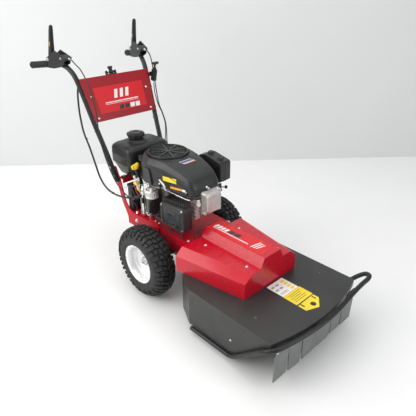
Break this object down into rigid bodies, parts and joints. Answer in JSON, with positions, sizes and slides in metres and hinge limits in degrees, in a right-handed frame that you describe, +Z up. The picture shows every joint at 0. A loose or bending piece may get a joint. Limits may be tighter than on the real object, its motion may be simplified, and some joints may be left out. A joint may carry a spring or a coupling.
{
  "type": "walk-behind brush mower",
  "caption": "Walk-behind brush mower: engine on a driven two-wheel chassis, belt drive under a cover to a bladed disc in a steel deck, and a handlebar with levers and a panel.",
  "frame": {"origin": "on the ground under the blade spindle, at the centre of the glide dish's flat underside", "axes": "+Z up; -Y is the front of the mower, and the operator stands at +Y; +X is the operator's left"},
  "size_m": [0.7287, 1.8014, 1.2772],
  "materials": {
    "red_paint": "glossy red paint",
    "dark_red": "darker red paint",
    "black_paint": "satin black paint",
    "grey_paint": "satin charcoal paint",
    "black_plastic": "satin black moulding",
    "tank_plastic": "textured black moulding",
    "rubber": "matt black",
    "tyre": "dusty black",
    "cable": "smooth black sheath",
    "rim_paint": "silver paint",
    "cast_alloy": "as cast",
    "cover_alloy": "satin",
    "zinc": "zinc plated",
    "steel": "bright machined",
    "iron": "as cast, painted dark",
    "muffler_steel": "heat resistant black",
    "yellow_plastic": "glossy yellow",
    "label": "printed film",
    "filter_black": "satin black"
  },
  "bodies": {
    "frame": {"chassis_frame": "red_paint", "handle_uprights": "red_paint", "handle_tube_left": "black_paint", "handle_tube_right": "black_paint", "control_panel": "dark_red", "panel_label": "red_paint", "dome_bolts": "zinc", "hand_grips": "rubber", "lever_brackets": "black_plastic", "throttle_housing": "black_plastic", "selector_bracket": "black_paint", "engine_block": "cast_alloy", "cylinder": "cast_alloy", "valve_cover": "cover_alloy", "blower_housing": "black_plastic", "fan_grille": "black_plastic", "air_cleaner": "black_plastic", "muffler": "muffler_steel", "muffler_guard": "muffler_steel", "oil_filter": "filter_black", "starter_motor": "zinc", "dipstick_tube": "black_plastic", "carburettor": "cast_alloy", "plug_lead": "cable", "fuel_tank": "tank_plastic", "fuel_hose": "cable", "battery_box": "black_plastic", "deck_shell": "grey_paint", "bumper_tube": "black_paint", "belt_cover": "red_paint", "deck_label": "label", "spindle_housing": "iron", "gearbox": "iron", "drive_belt": "rubber", "lever_cables": "cable", "throttle_cables": "cable"},
    "wheel_left": {"hub_left": "zinc", "rim_left": "rim_paint", "tyre_left": "tyre"},
    "wheel_right": {"hub_right": "zinc", "rim_right": "rim_paint", "tyre_right": "tyre"},
    "lever_left": {"lever_left": "black_plastic"},
    "lever_right": {"lever_right": "black_plastic"},
    "throttle_knob": {"throttle_knob": "black_plastic"},
    "choke_lever": {"choke_lever": "black_plastic"},
    "selector_lever": {"selector_lever": "black_plastic"},
    "fuel_cap": {"fuel_cap": "tank_plastic"},
    "dipstick": {"dipstick": "yellow_plastic"},
    "crank": {"crankshaft": "steel", "flywheel": "iron"},
    "rotor": {"blade_rotor": "steel"},
    "blade_front": {"swing_blade_front": "steel"},
    "blade_rear": {"swing_blade_rear": "steel"},
    "glide": {"glide_dish": "black_paint"},
    "idler_arm": {"idler_arm": "zinc"},
    "idler_pulley": {"idler_pulley": "steel"},
    "flap_left": {"flap_left": "rubber"},
    "flap_centre": {"flap_centre": "rubber"},
    "flap_right": {"flap_right": "rubber"}
  },
  "joints": [
    {"name": "wheel_left_spin", "type": "hinge", "parent": "frame", "child": "wheel_left", "pos_m": [0.2565, 0.555, 0.1905], "axis": [1, 0, 0], "continuous": true},
    {"name": "wheel_right_spin", "type": "hinge", "parent": "frame", "child": "wheel_right", "pos_m": [-0.2565, 0.555, 0.1905], "axis": [1, 0, 0], "continuous": true},
    {"name": "lever_left_squeeze", "type": "hinge", "parent": "frame", "child": "lever_left", "pos_m": [0.263, 1.282, 1.108], "axis": [-0.9848, 0.1736, 0], "range_deg": [0, 88], "stiffness_Nm_per_rad": 0.5, "springref_deg": -17.19},
    {"name": "lever_right_squeeze", "type": "hinge", "parent": "frame", "child": "lever_right", "pos_m": [-0.263, 1.282, 1.108], "axis": [-0.9848, -0.1736, 0], "range_deg": [0, 88], "stiffness_Nm_per_rad": 0.5, "springref_deg": -17.19},
    {"name": "throttle_slide", "type": "slide", "parent": "frame", "child": "throttle_knob", "axis": [0, -0.225, 0.9744], "range_m": [0, 0.022]},
    {"name": "choke_turn", "type": "hinge", "parent": "frame", "child": "choke_lever", "pos_m": [0.134, 0.471, 0.524], "axis": [-1, 0, 0], "range_deg": [0, 35]},
    {"name": "selector_turn", "type": "hinge", "parent": "frame", "child": "selector_lever", "pos_m": [-0.011, 1.11128, 1.03159], "axis": [1, 0, 0], "range_deg": [-25, 25]},
    {"name": "fuel_cap_turn", "type": "hinge", "parent": "frame", "child": "fuel_cap", "pos_m": [0, 0.939, 0.72], "axis": [0, 0, 1], "range_deg": [0, 120]},
    {"name": "dipstick_slide", "type": "slide", "parent": "frame", "child": "dipstick", "axis": [-0.28, 0.0067, 0.96], "range_m": [0, 0.13]},
    {"name": "blade_spin", "type": "hinge", "parent": "frame", "child": "rotor", "pos_m": [0, 0, 0.2], "axis": [0, 0, 1], "continuous": true},
    {"name": "crank_spin", "type": "hinge", "parent": "frame", "child": "crank", "pos_m": [0, 0.66, 0.5], "axis": [0, 0, 1], "continuous": true},
    {"name": "blade_front_swing", "type": "hinge", "parent": "rotor", "child": "blade_front", "pos_m": [0, -0.18, 0.076], "axis": [0, 0, 1], "range_deg": [-120, 120]},
    {"name": "blade_rear_swing", "type": "hinge", "parent": "rotor", "child": "blade_rear", "pos_m": [0, 0.18, 0.076], "axis": [0, 0, 1], "range_deg": [-120, 120]},
    {"name": "glide_spin", "type": "hinge", "parent": "rotor", "child": "glide", "pos_m": [0, 0, 0.03], "axis": [0, 0, 1], "continuous": true},
    {"name": "idler_swing", "type": "hinge", "parent": "frame", "child": "idler_arm", "pos_m": [0.104, 0.465, 0.31], "axis": [0, 0, -1], "range_deg": [0, 18]},
    {"name": "idler_spin", "type": "hinge", "parent": "idler_arm", "child": "idler_pulley", "pos_m": [0.088, 0.405, 0.312], "axis": [0, 0, 1], "continuous": true},
    {"name": "flap_left_swing", "type": "hinge", "parent": "frame", "child": "flap_left", "pos_m": [0.199, -0.32, 0.182], "axis": [-1, 0, 0], "range_deg": [-12, 60]},
    {"name": "flap_centre_swing", "type": "hinge", "parent": "frame", "child": "flap_centre", "pos_m": [0, -0.32, 0.182], "axis": [-1, 0, 0], "range_deg": [-12, 60]},
    {"name": "flap_right_swing", "type": "hinge", "parent": "frame", "child": "flap_right", "pos_m": [-0.1995, -0.32, 0.182], "axis": [-1, 0, 0], "range_deg": [-12, 60]}
  ],
  "couplings": [
    {"joint": "crank_spin", "follows": "blade_spin", "ratio": 1.1667},
    {"joint": "choke_turn", "follows": "throttle_slide", "rad_per_m": 27},
    {"joint": "idler_swing", "follows": "lever_left_squeeze", "ratio": 0.2}
  ]
}
